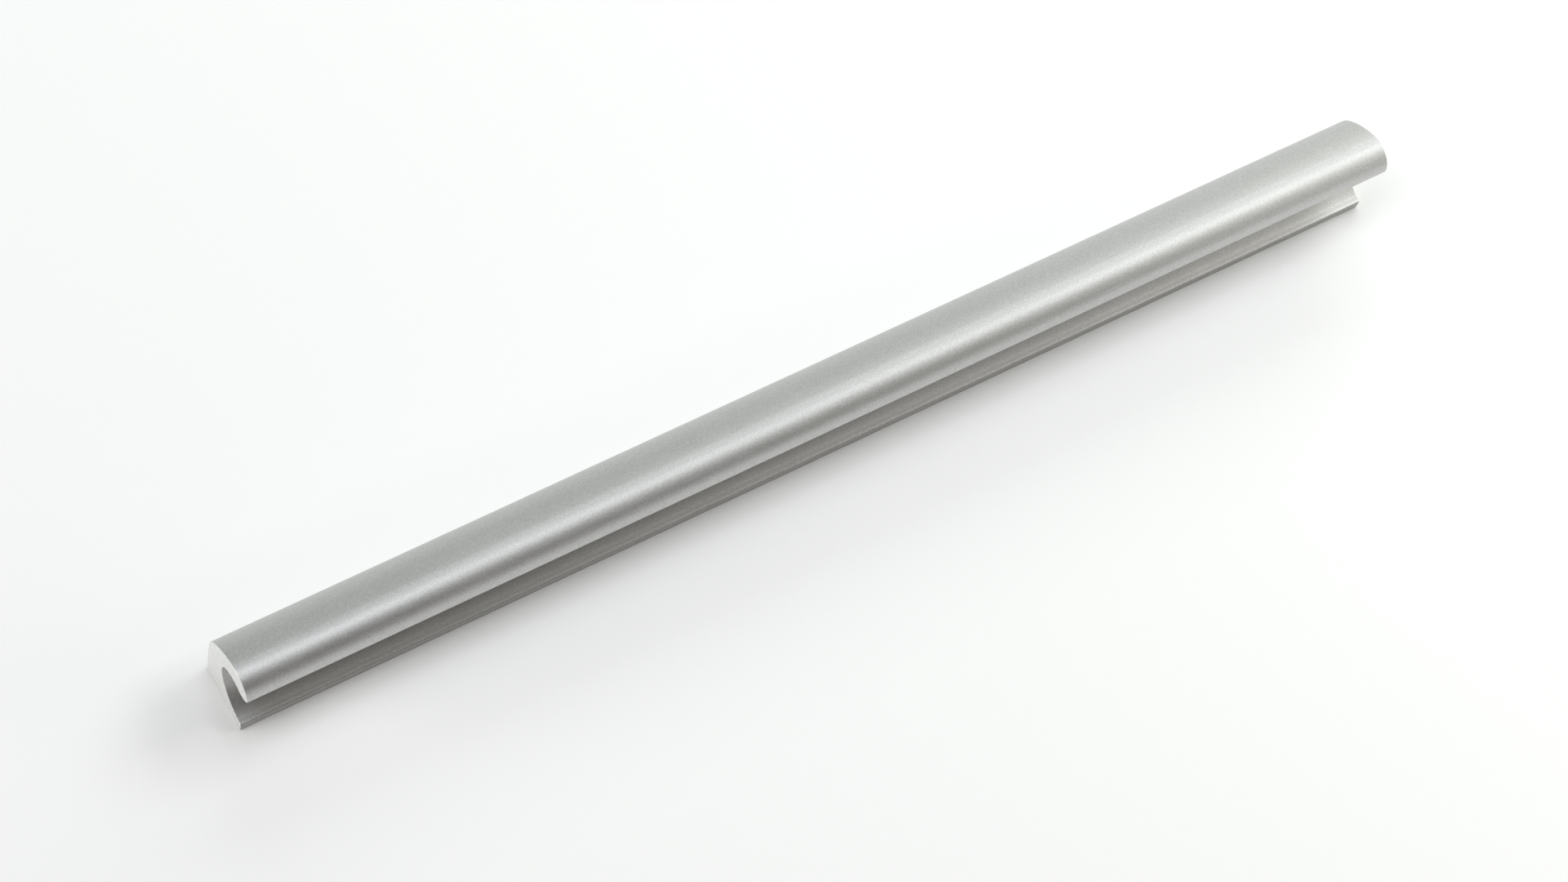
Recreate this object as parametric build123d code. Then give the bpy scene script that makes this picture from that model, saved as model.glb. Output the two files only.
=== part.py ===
from build123d import *
import os
from math import radians, sqrt, tan

# Furniture handle: one length of extruded aluminium profile with a finger channel.
# Millimetres. +X runs along the handle, the finger channel opens towards -Y, and the
# handle lies on its mounting face, which is at Z = 0 below the origin.

# Length and fixing
handle_length = 336.0        # cut length of the profile
hole_spacing = 320.0         # between the two fixing screws
screw_from_wall = 4.0        # hole centre from the back wall
screw_core = 3.3             # core diameter of the M4 thread
screw_depth = 12.0           # each blind hole, without its drill point
screw_mouth = 4.4            # diameter of the countersunk mouth
drill_point = 118.0          # angle of the point that closes the hole

# Grip, seen from the end of the handle. Across is the distance from the back wall
# towards the open side, and up is the distance from the mounting face.
projection = 31.0            # mounting face to the crown
leg_width = 18.4             # back wall to the tip of the mounting leg
lip_overhang = 1.3           # how far the lip stands out past the leg
wall_height = 16.5           # flat back wall
shoulder_radius = 11.0       # round between the back wall and the crown
crown_radius = 24.5          # broad round of the grip
nose_radius = 6.0            # tighter round that turns down into the lip
lip_height = 24.6            # mounting face to the edge of the lip

# Finger channel
web_thickness = 7.0          # metal between the back wall and the channel
channel_height = 16.6        # mounting face to the deepest line of the channel
hook_radius = 6.5            # hollow round under the grip
bead_radius = 3.5            # full round under the lip, where the fingers pull
leg_tip_thickness = 3.4      # mounting leg at its tip

# Small rounds of the die, and the deburred ends
back_round = 0.8
tip_round = 0.4
lip_round = 0.4
end_chamfer = 0.25

# Worked out from the sizes above
depth = leg_width + lip_overhang
clear = nose_radius          # how far the cutting shapes run past the profile


def circles_meet(centre, radius, other_centre, other_radius):
    """Where two circles cross, on the right of the way from the first to the second."""
    apart = other_centre - centre
    along = (apart.length ** 2 + radius ** 2 - other_radius ** 2) / (2 * apart.length)
    aside = sqrt(radius ** 2 - along ** 2)
    way = apart.normalized()
    return centre + way * along + Vector(way.Y, -way.X) * aside


def arc_between(centre, start, end):
    """The shorter arc about centre from start to end."""
    radius = (start - centre).length
    half_way = ((start - centre) + (end - centre)).normalized()
    return ThreePointArc(start, centre + half_way * radius, end)


def grip_outline():
    """Back wall, shoulder, crown and nose down to the lip, closed along the mounting face."""
    shoulder_centre = Vector(shoulder_radius, wall_height)
    nose_centre = Vector(depth - nose_radius, projection - nose_radius)
    crown_centre = circles_meet(
        shoulder_centre, crown_radius - shoulder_radius, nose_centre, crown_radius - nose_radius
    )
    shoulder_end = crown_centre + (shoulder_centre - crown_centre).normalized() * crown_radius
    crown_end = crown_centre + (nose_centre - crown_centre).normalized() * crown_radius
    wall_top = Vector(0, wall_height)
    nose_end = Vector(depth, nose_centre.Y)
    with BuildSketch() as outline:
        with BuildLine():
            Line((0, 0), wall_top)
            arc_between(shoulder_centre, wall_top, shoulder_end)
            arc_between(crown_centre, shoulder_end, crown_end)
            arc_between(nose_centre, crown_end, nose_end)
            Line(nose_end, (depth, 0))
            Line((depth, 0), (0, 0))
        make_face()
    return outline.sketch


def finger_channel():
    """Hollow under the grip, bead under the lip, and the hollow face of the leg."""
    deepest = Vector(web_thickness, channel_height)
    lip_edge = Vector(depth, lip_height)
    hook_centre = deepest + Vector(hook_radius, 0)
    bead_centre = circles_meet(lip_edge, bead_radius, hook_centre, hook_radius + bead_radius)
    hook_end = hook_centre + (bead_centre - hook_centre).normalized() * hook_radius

    # the face of the leg leaves the deepest line upright and reaches the tip of the leg
    leg_tip = Vector(leg_width, leg_tip_thickness)
    fall = deepest - leg_tip
    leg_radius = fall.length ** 2 / (2 * abs(fall.X))
    leg_centre = deepest + Vector(leg_radius, 0)
    past_leg = Vector(depth + clear, leg_tip_thickness)
    with BuildSketch() as channel:
        with BuildLine():
            arc_between(leg_centre, leg_tip, deepest)
            arc_between(hook_centre, deepest, hook_end)
            arc_between(bead_centre, hook_end, lip_edge)
            Line(lip_edge, (past_leg.X, lip_height))
            Line((past_leg.X, lip_height), past_leg)
            Line(past_leg, leg_tip)
        make_face()
    return channel.sketch


def corner(sketch, across, up):
    """The corner of the sketch that lies nearest to a place."""
    return sketch.vertices().sort_by_distance((across, up, 0))[0]


def profile():
    """The section of the extrusion."""
    past_leg_tip = Pos(leg_width, 0) * Rectangle(
        lip_overhang + clear, channel_height, align=(Align.MIN, Align.MIN)
    )
    section = grip_outline() - finger_channel() - past_leg_tip
    section = fillet(corner(section, 0, 0), back_round)
    section = fillet(corner(section, leg_width, 0), tip_round)
    section = fillet(corner(section, leg_width, leg_tip_thickness), tip_round)
    return fillet(corner(section, depth, lip_height), lip_round)


def screw_hole():
    """What the tap drill and the countersink take away, mouth at the origin."""
    core = screw_core / 2
    mouth = screw_mouth / 2
    countersink = mouth - core
    bottom = screw_depth + core / tan(radians(drill_point / 2))
    with BuildSketch(Plane.XZ) as half:
        with BuildLine():
            Polyline((0, 0), (mouth, 0), (core, countersink), (core, screw_depth), (0, bottom), close=True)
        make_face()
    return revolve(half.sketch, Axis.Z)


def handle_profile():
    """The extruded length with its ends deburred and its fixing holes."""
    end = Plane(origin=(handle_length / 2, depth / 2, 0), x_dir=(0, -1, 0), z_dir=(-1, 0, 0))
    bar = extrude(end * profile(), handle_length)
    bar = chamfer(bar.faces().filter_by(Axis.X).edges(), end_chamfer)
    for side in (-1, 1):
        mouth = Pos(side * hole_spacing / 2, depth / 2 - screw_from_wall, 0)
        bar -= mouth * screw_hole()
    return bar


os.makedirs("parts", exist_ok=True)
export_step(handle_profile(), "parts/handle_profile.step")
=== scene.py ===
import math

import bmesh
import bpy
from mathutils import Matrix, Vector

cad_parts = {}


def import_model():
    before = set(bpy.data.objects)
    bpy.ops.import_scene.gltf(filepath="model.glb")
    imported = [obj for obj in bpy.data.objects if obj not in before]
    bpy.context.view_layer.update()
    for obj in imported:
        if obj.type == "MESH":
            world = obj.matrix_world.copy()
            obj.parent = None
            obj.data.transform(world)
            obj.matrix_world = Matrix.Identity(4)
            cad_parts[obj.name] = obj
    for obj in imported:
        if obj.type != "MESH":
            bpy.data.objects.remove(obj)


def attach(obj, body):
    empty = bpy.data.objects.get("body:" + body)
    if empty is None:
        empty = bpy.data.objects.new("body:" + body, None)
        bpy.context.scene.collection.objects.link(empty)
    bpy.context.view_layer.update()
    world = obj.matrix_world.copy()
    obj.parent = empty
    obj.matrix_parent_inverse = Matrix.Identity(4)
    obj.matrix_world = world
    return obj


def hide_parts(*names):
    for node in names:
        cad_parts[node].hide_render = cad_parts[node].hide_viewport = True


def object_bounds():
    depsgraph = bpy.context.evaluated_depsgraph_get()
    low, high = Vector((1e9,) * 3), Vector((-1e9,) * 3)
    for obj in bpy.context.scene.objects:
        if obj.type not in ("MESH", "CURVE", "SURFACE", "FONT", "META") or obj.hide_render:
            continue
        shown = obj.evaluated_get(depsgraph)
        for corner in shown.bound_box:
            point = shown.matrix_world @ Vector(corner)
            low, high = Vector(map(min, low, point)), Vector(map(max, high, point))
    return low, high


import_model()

cad_low, cad_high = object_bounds()

# Camera: the angle that the photograph was taken from, in the part's frame
camera_target = Vector((-0.0133, -0.0046, 0.0155))
camera_distance = 1.0509
camera_azimuth = 50.956         # the way it looks, from +Y towards +X
camera_elevation = 65.808       # above the horizon
camera_roll = 23.383            # the camera was tilted about its own line of sight
camera_lens = 94.926            # mm
camera_sensor = 36.0            # mm wide
camera_clip_start = 0.05
camera_clip_end = 30.0

# Profile: across is measured from the back wall towards the open side, and up from the mounting face
MM = 0.001
length = cad_high.x - cad_low.x
depth = cad_high.y - cad_low.y
projection = 31.0 * MM
leg_width = 18.4 * MM
wall_height = 16.5 * MM
shoulder_radius = 11.0 * MM
crown_radius = 24.5 * MM
nose_radius = 6.0 * MM
lip_height = 24.6 * MM
web_thickness = 7.0 * MM
channel_height = 16.6 * MM
hook_radius = 6.5 * MM
bead_radius = 3.5 * MM
leg_tip_thickness = 3.4 * MM
back_round = 0.8 * MM
tip_round = 0.4 * MM
lip_round = 0.4 * MM
end_round = 0.25 * MM           # deburred edge round each end

# Screw holes, with the M4 thread that the part leaves out
hole_spacing = 320.0 * MM
screw_from_wall = 4.0 * MM
screw_core = 3.3 * MM
screw_depth = 12.0 * MM
screw_mouth = 4.4 * MM
screw_chamfer = (screw_mouth - screw_core) / 2  # height of the mouth, which is cut at 45 degrees
drill_point = math.radians(118.0)
thread_size = 4.0 * MM
thread_pitch = 0.7 * MM
thread_end = 10.4 * MM
thread_runout = 0.7 * MM        # over this height the thread grows to its depth, and ends again
thread_root = 1 / 8             # flat at the bottom of the groove, as a share of the pitch
thread_crest = 1 / 4            # flat between two turns of the groove, as a share of the pitch

# How finely the mesh is cut up
arc_step = math.radians(2.5)
end_steps = 4                   # across the deburred edge
ring_spacing = 8.0 * MM
hole_sides = 36
rings_a_turn = 12               # to each turn of the thread
mouth_margin = 1.0 * MM         # flat metal between the mouth and the nearest ring of the mesh
same_place = 1e-7               # nearer than this is the same place

# Metal, and how fine each of its patterns is
metal_colour = (0.613, 0.613, 0.606)
metal_roughness = 0.56
grain_scale = 2200.0            # to the metre, so a grain of the blasting is about 0.4 mm
pearl_scale = grain_scale * 2.7         # a finer grain over it
cloud_scale = 55.0
streak_scale = (8.0, 1100.0, 1100.0)    # along, across and up, so it is drawn out along the handle

# Metal: how much each pattern changes the tone and the roughness, and its height in metres
grain_tone = 0.5
pearl_tone = 0.3
cloud_tone = 0.03
streak_tone = 0.035
grain_roughness = 0.10
pearl_roughness = 0.08
cloud_roughness = 0.05
grain_height = 6e-6
pearl_height = 3e-6
streak_height = 1.5e-6

# Metal: the lines of the die, with painted highlight on their ridges and painted shade in their groove;
# the lighter cut ends, partly painted light; and painted shade on the tip of the leg
leg_lines = (                   # from the back wall, width and height of each die line
    (16.5 * MM, 0.5 * MM, 0.004 * MM),
    (17.3 * MM, 0.4 * MM, -0.006 * MM),
    (17.95 * MM, 0.35 * MM, 0.005 * MM),
)
line_painted_shading = 24000.0             # how much lighter a line is, to the metre of its height: a painted highlight on a ridge and painted shade in a groove
cut_tone_and_painted_light = 0.38                 # how much lighter the cut faces at the ends are, partly a lighter finish of the cut and partly painted light
tip_painted_shade = -0.28                # painted shade: the narrow face at the tip of the leg is painted darker

# Studio: a pale floor under overhead lamps, with more light from both sides and from behind
floor_radius = 6.0
floor_sides = 96
floor_colour = (0.87, 0.87, 0.865)
floor_glow_near = 0.16          # what the camera and the metal see of the floor over its own light
floor_glow_far = 0.5            # the same, out where the lamps do not reach
glow_start = 0.4                # the glow grows from this distance to glow_end
glow_end = 1.8
contact_reach = 0.03            # how near the handle the glow gives way to its shadow
contact_samples = 8
world_colour = (1.0, 0.93, 0.88)
world_strength = 0.01
light_height = 1.25             # of the lamps that face down

# Studio: the colours of the lamps, faint tints of white apart from the orange
blue = (0.92, 0.945, 1.0)
green = (0.955, 1.0, 0.98)
cream = (1.0, 1.0, 0.94)
beige = (1.0, 0.95, 0.905)
orange = (1.0, 0.4, 0.2)


class Nodes:
    """A node tree with short calls to add and link nodes."""

    def __init__(self, tree):
        self.tree = tree
        tree.nodes.clear()

    def add(self, kind, inputs=None, **settings):
        node = self.tree.nodes.new("ShaderNode" + kind)
        for name, value in settings.items():
            setattr(node, name, value)
        for name, value in (inputs or {}).items():
            self.feed(node.inputs[name], value)
        return node

    def math(self, operation, *values):
        inputs = dict(enumerate(values))
        return self.add("Math", inputs, operation=operation).outputs[0]

    def feed(self, socket, value):
        if isinstance(value, bpy.types.NodeSocket):
            self.tree.links.new(value, socket)
        else:
            socket.default_value = value


def material(name):
    made = bpy.data.materials.new(name)
    made.use_nodes = True
    return made, Nodes(made.node_tree)


def noise(nodes, place, scale, detail):
    """Noise about 0, mostly within -0.25 to 0.25."""
    fac = nodes.add("TexNoise", {"Vector": place, "Scale": scale, "Detail": detail}).outputs["Fac"]
    return nodes.math("SUBTRACT", fac, 0.5)


def total(nodes, start, terms):
    """start plus each term times its weight."""
    for term, weight in terms:
        start = nodes.math("MULTIPLY_ADD", term, weight, start)
    return start


def fade(nodes, value, near, far, interpolation="SMOOTHSTEP"):
    """1 up to near, falling to 0 at far."""
    return nodes.add("MapRange", {
        "Value": value, "From Min": near, "From Max": far, "To Min": 1.0, "To Max": 0.0,
    }, interpolation_type=interpolation).outputs[0]


def band(nodes, value, centre, width):
    """1 at centre, falling to 0 at half the width to either side."""
    off = nodes.math("SUBTRACT", value, centre)
    return fade(nodes, nodes.math("ABSOLUTE", off), 0.0, width / 2)


def die_lines(nodes, place):
    """Fine lines that the die leaves near the tip of the leg, on its upper face: a height in metres."""
    axes = nodes.add("SeparateXYZ", {0: place}).outputs
    lines = 0.0
    for from_wall, width, height in leg_lines:
        line = band(nodes, axes["Y"], depth / 2 - from_wall, width)
        lines = total(nodes, lines, [(line, height)])
    low = fade(nodes, axes["Z"], channel_height / 2, channel_height, "LINEAR")
    above = nodes.math("GREATER_THAN", axes["Z"], tip_round)
    return nodes.math("MULTIPLY", nodes.math("MULTIPLY", lines, low), above)


def cut_face(nodes, place):
    """1 on the cut at each end of the handle, and 0 elsewhere."""
    along = nodes.add("SeparateXYZ", {0: place}).outputs["X"]
    from_middle = nodes.math("ABSOLUTE", along)
    return nodes.math("GREATER_THAN", from_middle, (length - end_round) / 2)


def tip_shade_mask(nodes, place):
    """Where the painted shade goes: 1 on the narrow face at the tip of the leg, fading out over its
    rounded edges.
    """
    axes = nodes.add("SeparateXYZ", {0: place}).outputs
    tip = depth / 2 - leg_width
    face = fade(nodes, axes["Y"], tip, tip + tip_round)
    low = nodes.math("LESS_THAN", axes["Z"], leg_tip_thickness)
    return nodes.math("MULTIPLY", face, low)


def anodised_aluminium():
    """Fine blasted and natural anodised metal, with lighter cut ends that are partly painted light, the
    lines of the die with painted highlight and shade, and painted shade on the tip of the leg.
    """
    made, nodes = material("anodised_aluminium_finish")
    place = nodes.add("TexCoord").outputs["Object"]
    drawn_out = nodes.add("VectorMath", {0: place, 1: streak_scale}, operation="MULTIPLY").outputs[0]
    grain = noise(nodes, place, grain_scale, 2.0)
    pearl = noise(nodes, place, pearl_scale, 1.0)
    cloud = noise(nodes, place, cloud_scale, 3.0)
    streak = noise(nodes, drawn_out, 1.0, 3.0)
    lines = die_lines(nodes, place)
    cut = cut_face(nodes, place)
    tip = tip_shade_mask(nodes, place)

    # The tone holds painted light: the die lines' highlight and shade, part of the cut ends' lightness,
    # and the shade on the tip of the leg
    tone = total(nodes, 1.0, [
        (grain, grain_tone), (pearl, pearl_tone), (cloud, cloud_tone), (streak, streak_tone),
        (lines, line_painted_shading), (cut, cut_tone_and_painted_light), (tip, tip_painted_shade),
    ])
    colour = nodes.add("VectorMath", {0: metal_colour, "Scale": tone}, operation="SCALE").outputs[0]
    roughness = total(nodes, metal_roughness, [
        (grain, grain_roughness), (pearl, pearl_roughness), (cloud, cloud_roughness),
    ])
    height = total(nodes, lines, [
        (grain, grain_height), (pearl, pearl_height), (streak, streak_height),
    ])
    relief = nodes.add("Bump", {"Height": height, "Distance": 1.0, "Strength": 1.0}).outputs[0]
    shader = nodes.add("BsdfPrincipled", {
        "Base Color": colour,
        "Metallic": 1.0,
        "Roughness": roughness,
        "Normal": relief,
    })
    output = nodes.add("OutputMaterial")
    nodes.feed(output.inputs["Surface"], shader.outputs["BSDF"])
    return made


def seen_directly(nodes):
    """1 where the camera, or a reflection in the metal, sees the surface."""
    path = nodes.add("LightPath").outputs
    camera_or_glossy = nodes.math("MAXIMUM", path["Is Camera Ray"], path["Is Glossy Ray"])
    return nodes.math("MAXIMUM", camera_or_glossy, path["Is Transmission Ray"])


def floor_finish():
    """Diffuse, with a glow that keeps it pale far out and gives way close to the handle."""
    made, nodes = material("studio_floor_finish")
    lit = nodes.add("BsdfDiffuse", {"Color": (*floor_colour, 1.0)})
    place = nodes.add("TexCoord").outputs["Object"]
    distance = nodes.add("VectorMath", {0: place}, operation="LENGTH").outputs["Value"]
    glow = nodes.add("MapRange", {
        "Value": distance, "From Min": glow_start, "From Max": glow_end,
        "To Min": floor_glow_near, "To Max": floor_glow_far,
    }, interpolation_type="SMOOTHSTEP").outputs[0]
    sky = nodes.add("AmbientOcclusion", {"Distance": contact_reach}, samples=contact_samples)
    glow = nodes.math("MULTIPLY", glow, sky.outputs["AO"])
    seen = nodes.math("MULTIPLY", seen_directly(nodes), glow)
    lift = nodes.add("Emission", {"Color": (1, 1, 1, 1), "Strength": seen})
    both = nodes.add("AddShader", {0: lit.outputs[0], 1: lift.outputs[0]})
    output = nodes.add("OutputMaterial")
    nodes.feed(output.inputs["Surface"], both.outputs[0])
    return made


def floor():
    bpy.ops.mesh.primitive_circle_add(vertices=floor_sides, radius=floor_radius, fill_type="NGON")
    disc = bpy.context.object
    disc.name = "studio_floor"
    disc.data.materials.append(floor_finish())


def world():
    made = bpy.data.worlds.new("studio_world")
    made.use_nodes = True
    bpy.context.scene.world = made
    nodes = Nodes(made.node_tree)
    sky = nodes.add("Background", {"Color": (*world_colour, 1.0), "Strength": world_strength})
    output = nodes.add("OutputWorld")
    nodes.feed(output.inputs["Surface"], sky.outputs[0])


def softbox(name, place, size, radiance, colour, turn=(0, 0, 0)):
    """An oblong area light that faces down before its turn in degrees. A white card has radiance 1."""
    data = bpy.data.lights.new(name, "AREA")
    data.shape = "RECTANGLE"
    data.size, data.size_y = size
    data.energy = radiance * math.pi * size[0] * size[1]
    data.color = colour
    lamp = bpy.data.objects.new(name, data)
    bpy.context.scene.collection.objects.link(lamp)
    lamp.location = place
    lamp.rotation_euler = [math.radians(angle) for angle in turn]
    lamp.visible_camera = False


def lights():
    """Each lamp's place and size in metres, its radiance and its colour."""
    softbox("overhead", (-0.3, 0.1, light_height), (0.8, 0.4), 5.45, blue)
    softbox("overhead_right", (1.1, 0.15, light_height), (1.0, 0.7), 4.45, green)
    softbox("overhead_right_front", (1.1, -0.3, light_height), (1.0, 0.2), 5.8, beige)
    softbox("behind", (0.95, 1.8, light_height), (1.5, 1.6), 2.3, green)
    softbox("left", (-1.4, 0.4, 0.5), (0.9, 1.1), 3.4, cream, turn=(0, -90, 0))
    softbox("right", (1.6, 0.125, 0.675), (1.15, 0.85), 1.4, green, turn=(0, 90, 0))
    softbox("near_right", (0.6, -0.4, 0.3), (0.5, 0.4), 2.45, cream, turn=(0, 90, 0))
    softbox("near_right_behind", (0.6, 0.525, 0.3), (0.5, 0.55), 1.6, cream, turn=(0, 90, 0))
    softbox("front", (-0.7, -1.3, 0.4), (1.0, 0.7), 0.2, orange, turn=(90, 0, 0))


def camera():
    data = bpy.data.cameras.new("camera")
    data.sensor_width = camera_sensor
    data.lens = camera_lens
    data.clip_start = camera_clip_start
    data.clip_end = camera_clip_end
    view = bpy.data.objects.new("camera", data)
    bpy.context.scene.collection.objects.link(view)
    azimuth, elevation = math.radians(camera_azimuth), math.radians(camera_elevation)
    sight = Vector((
        math.sin(azimuth) * math.cos(elevation),
        math.cos(azimuth) * math.cos(elevation),
        -math.sin(elevation),
    ))
    view.location = camera_target - sight * camera_distance
    level = sight.to_track_quat("-Z", "Y").to_matrix()
    view.rotation_euler = (level @ Matrix.Rotation(math.radians(camera_roll), 3, "Z")).to_euler()
    bpy.context.scene.camera = view


def circles_meet(centre, radius, other_centre, other_radius):
    """Where two circles cross, on the right of the way from the first to the second."""
    apart = (other_centre - centre).length
    along = (apart ** 2 + radius ** 2 - other_radius ** 2) / (2 * apart)
    aside = math.sqrt(radius ** 2 - along ** 2)
    way = (other_centre - centre).normalized()
    return centre + way * along + Vector((way.y, -way.x)) * aside


def angle_of(vector):
    return math.atan2(vector.y, vector.x)


def run_arc(centre, start, end, hollow=False):
    """Points of the shorter arc from start to end, each with the normal that points out of the metal."""
    radius = (start - centre).length
    first = angle_of(start - centre)
    turn = (angle_of(end - centre) - first + math.pi) % (2 * math.pi) - math.pi
    steps = max(2, math.ceil(abs(turn) / arc_step))
    points = []
    for step in range(steps + 1):
        angle = first + turn * step / steps
        ray = Vector((math.cos(angle), math.sin(angle)))
        points.append((centre + ray * radius, -ray if hollow else ray))
    return points


def round_against_wall(wall_across, centre, radius, corner_radius, hollow):
    """The small round from an upright face to the lower half of an arc: its centre and its end."""
    reach = radius + corner_radius if hollow else radius - corner_radius
    across = wall_across - corner_radius
    fall = math.sqrt(reach ** 2 - (across - centre.x) ** 2)
    round_centre = Vector((across, centre.y - fall))
    return round_centre, centre + (round_centre - centre).normalized() * radius


def section():
    """The outline of the profile, once round, clockwise seen with across to the right."""
    shoulder_centre = Vector((shoulder_radius, wall_height))
    nose_centre = Vector((depth - nose_radius, projection - nose_radius))
    crown_centre = circles_meet(
        shoulder_centre, crown_radius - shoulder_radius, nose_centre, crown_radius - nose_radius
    )
    shoulder_end = crown_centre + (shoulder_centre - crown_centre).normalized() * crown_radius
    crown_end = crown_centre + (nose_centre - crown_centre).normalized() * crown_radius

    deepest = Vector((web_thickness, channel_height))
    hook_centre = deepest + Vector((hook_radius, 0))
    bead_centre = circles_meet(
        Vector((depth, lip_height)), bead_radius, hook_centre, hook_radius + bead_radius
    )
    hook_end = hook_centre + (bead_centre - hook_centre).normalized() * hook_radius
    lip_centre, bead_start = round_against_wall(depth, bead_centre, bead_radius, lip_round, False)

    fall = deepest - Vector((leg_width, leg_tip_thickness))
    leg_radius = fall.length ** 2 / (2 * abs(fall.x))
    leg_centre = deepest + Vector((leg_radius, 0))
    tip_centre, leg_end = round_against_wall(leg_width, leg_centre, leg_radius, tip_round, True)

    back_centre = Vector((back_round, back_round))
    foot_centre = Vector((leg_width - tip_round, tip_round))
    runs = [
        run_arc(back_centre, Vector((back_round, 0)), Vector((0, back_round))),
        run_arc(shoulder_centre, Vector((0, wall_height)), shoulder_end),
        run_arc(crown_centre, shoulder_end, crown_end),
        run_arc(nose_centre, crown_end, Vector((depth, nose_centre.y))),
        run_arc(lip_centre, Vector((depth, lip_centre.y)), bead_start),
        run_arc(bead_centre, bead_start, hook_end),
        run_arc(hook_centre, hook_end, deepest, hollow=True),
        run_arc(leg_centre, deepest, leg_end, hollow=True),
        run_arc(tip_centre, leg_end, Vector((leg_width, tip_centre.y))),
        run_arc(foot_centre, Vector((leg_width, foot_centre.y)), Vector((foot_centre.x, 0))),
    ]
    outline = []
    for run in runs:
        for point, normal in run:
            if not outline or (point - outline[-1][0]).length > same_place:
                outline.append((point, normal))
    return outline


def mouth_span(side):
    """The stretch along the handle that the mesh gives to the screw hole on one side, -1 or 1."""
    reach = screw_mouth / 2 + mouth_margin
    return side * hole_spacing / 2 - reach, side * hole_spacing / 2 + reach


def ring_places():
    """Where each ring of the mesh stands, how far it is drawn in, and how far it faces +X."""
    half = length / 2
    rounded = []
    for step in range(end_steps + 1):
        angle = math.pi / 2 * step / end_steps
        from_end = end_round * (1 - math.cos(angle))
        inset = end_round * (1 - math.sin(angle))
        rounded.append((from_end, inset, math.cos(angle)))
    places = [(from_end - half, inset, -facing) for from_end, inset, facing in rounded]
    hole_from, hole_to = mouth_span(1)
    stops = [end_round - half, -hole_to, -hole_from, hole_from, hole_to, half - end_round]
    for start, stop in zip(stops, stops[1:]):
        gaps = math.ceil((stop - start) / ring_spacing)
        places += [(start + (stop - start) * gap / gaps, 0, 0) for gap in range(1, gaps + 1)]
    places += [(half - from_end, inset, facing) for from_end, inset, facing in reversed(rounded[:-1])]
    return places


def thread_reach(height, turn):
    """How far the thread cuts past the core, turn being the share of a turn round the hole."""
    if not screw_chamfer < height < thread_end:
        return 0
    off_root = abs((height / thread_pitch - turn) % 1 - 0.5)
    flank = (1 - thread_root - thread_crest) / 2
    shape = min(max(((1 - thread_crest) / 2 - off_root) / flank, 0), 1)
    grown = min(height - screw_chamfer, thread_end - height, thread_runout) / thread_runout
    return (thread_size - screw_core) / 2 * shape * grown


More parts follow.
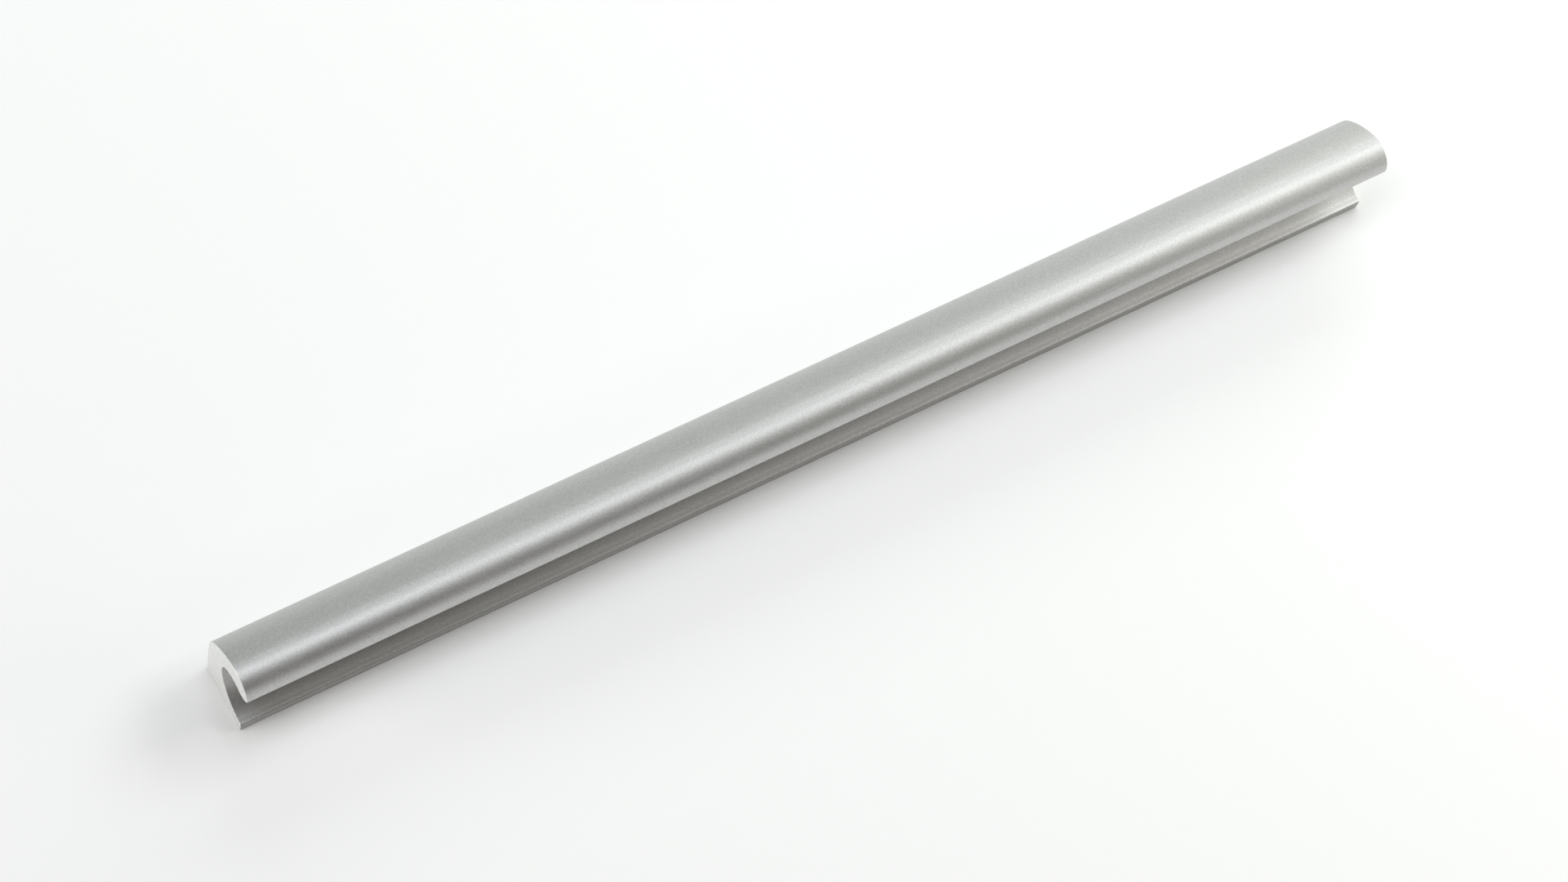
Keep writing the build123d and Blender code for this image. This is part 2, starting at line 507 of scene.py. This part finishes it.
class ProfileMesh:
    """The length with rounded end edges and threaded holes, and the true normal at each corner."""

    def __init__(self):
        self.places = []
        self.normals = []
        self.faces = []
        self.sharp = []

    def vertex(self, place, normal=None):
        self.places.append(place)
        self.normals.append(normal)
        return len(self.places) - 1

    def ring(self, outline, along, inset, facing):
        upright = math.sqrt(1 - facing ** 2)
        ring = []
        for point, normal in outline:
            across, up = point - normal * inset
            place = (along, depth / 2 - across, up)
            ring.append(self.vertex(place, (facing, -normal.x * upright, normal.y * upright)))
        return ring

    def bar(self):
        outline = section()
        places = ring_places()
        rings = [self.ring(outline, *place) for place in places]
        for (along, _, _), ring, next_ring in zip(places, rings, rings[1:]):
            for index in range(len(outline) - 1):
                self.faces.append((ring[index], next_ring[index], next_ring[index + 1], ring[index + 1]))
            flat = (ring[-1], next_ring[-1], next_ring[0], ring[0])
            side = math.copysign(1, along)
            if abs(along - mouth_span(side)[0]) < same_place:
                self.hole(side * hole_spacing / 2, flat)
            else:
                self.faces.append(flat)
        self.faces.append(tuple(rings[0]))
        self.faces.append(tuple(reversed(rings[-1])))

    def hole(self, along, flat):
        """A blind hole up from the mounting face, its mouth set into one flat four-cornered face."""
        centre_y = depth / 2 - screw_from_wall
        levels = [0, screw_chamfer]
        steps = round((thread_end - screw_chamfer) / thread_pitch * rings_a_turn)
        for step in range(1, steps + 1):
            levels.append(screw_chamfer + (thread_end - screw_chamfer) * step / steps)
        levels.append(screw_depth)
        rings = []
        for height in levels:
            ring = []
            for step in range(hole_sides):
                turn = step / hole_sides
                radius = (screw_mouth / 2 if height == 0 else screw_core / 2) + thread_reach(height, turn)
                angle = 2 * math.pi * turn
                x = along + radius * math.cos(angle)
                y = centre_y + radius * math.sin(angle)
                ring.append(self.vertex((x, y, height)))
            rings.append(ring)
        point = screw_depth + screw_core / 2 / math.tan(drill_point / 2)
        tip = self.vertex((along, centre_y, point))
        for step in range(hole_sides):
            after = (step + 1) % hole_sides
            for ring, next_ring in zip(rings, rings[1:]):
                self.faces.append((ring[step], next_ring[step], next_ring[after], ring[after]))
            self.faces.append((rings[-1][step], tip, rings[-1][after]))
            for edge in (rings[0], rings[1], rings[-1]):
                self.sharp.append((edge[step], edge[after]))
        self.mouth(rings[0], flat)

    def mouth(self, ring, flat):
        """Flat triangles between the corners of a face and the mouth of the hole in it."""
        quarter = hole_sides // 4
        corners = {}
        for corner in flat:
            x, y, _ = self.places[corner]
            centre_x = (self.places[ring[0]][0] + self.places[ring[2 * quarter]][0]) / 2
            centre_y = self.places[ring[0]][1]
            corners[(x > centre_x, y > centre_y)] = corner
        around = [corners[key] for key in ((True, True), (False, True), (False, False), (True, False))]
        for index, corner in enumerate(around):
            for step in range(index * quarter, (index + 1) * quarter):
                self.faces.append((corner, ring[step], ring[(step + 1) % hole_sides]))
            self.faces.append((corner, ring[(index + 1) * quarter % hole_sides], around[(index + 1) % 4]))

    def data(self, name):
        """The finished mesh. A corner without a normal of its own gets the usual one."""
        data = bpy.data.meshes.new(name)
        data.from_pydata(self.places, [], self.faces)
        made = bmesh.new()
        made.from_mesh(data)
        bmesh.ops.recalc_face_normals(made, faces=made.faces)
        made.to_mesh(data)
        made.free()
        sharp = {tuple(sorted(edge)) for edge in self.sharp}
        for edge in data.edges:
            edge.use_edge_sharp = tuple(sorted(edge.vertices)) in sharp
        normals = []
        for face in data.polygons:
            face.use_smooth = True
            lies_flat = all(abs(self.places[corner][2]) < same_place for corner in face.vertices)
            for corner in face.vertices:
                normal = (0, 0, -1) if lies_flat else self.normals[corner]
                normals.append(normal or (0, 0, 0))
        data.normals_split_custom_set(normals)
        return data


def handle_piece():
    mesh = ProfileMesh()
    mesh.bar()
    piece = bpy.data.objects.new("handle", mesh.data("handle"))
    bpy.context.scene.collection.objects.link(piece)
    piece.data.materials.append(anodised_aluminium())
    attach(piece, "root")
    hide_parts("handle_profile")


handle_piece()

floor()
world()
lights()
camera()
bpy.context.scene.view_settings.view_transform = "Standard"
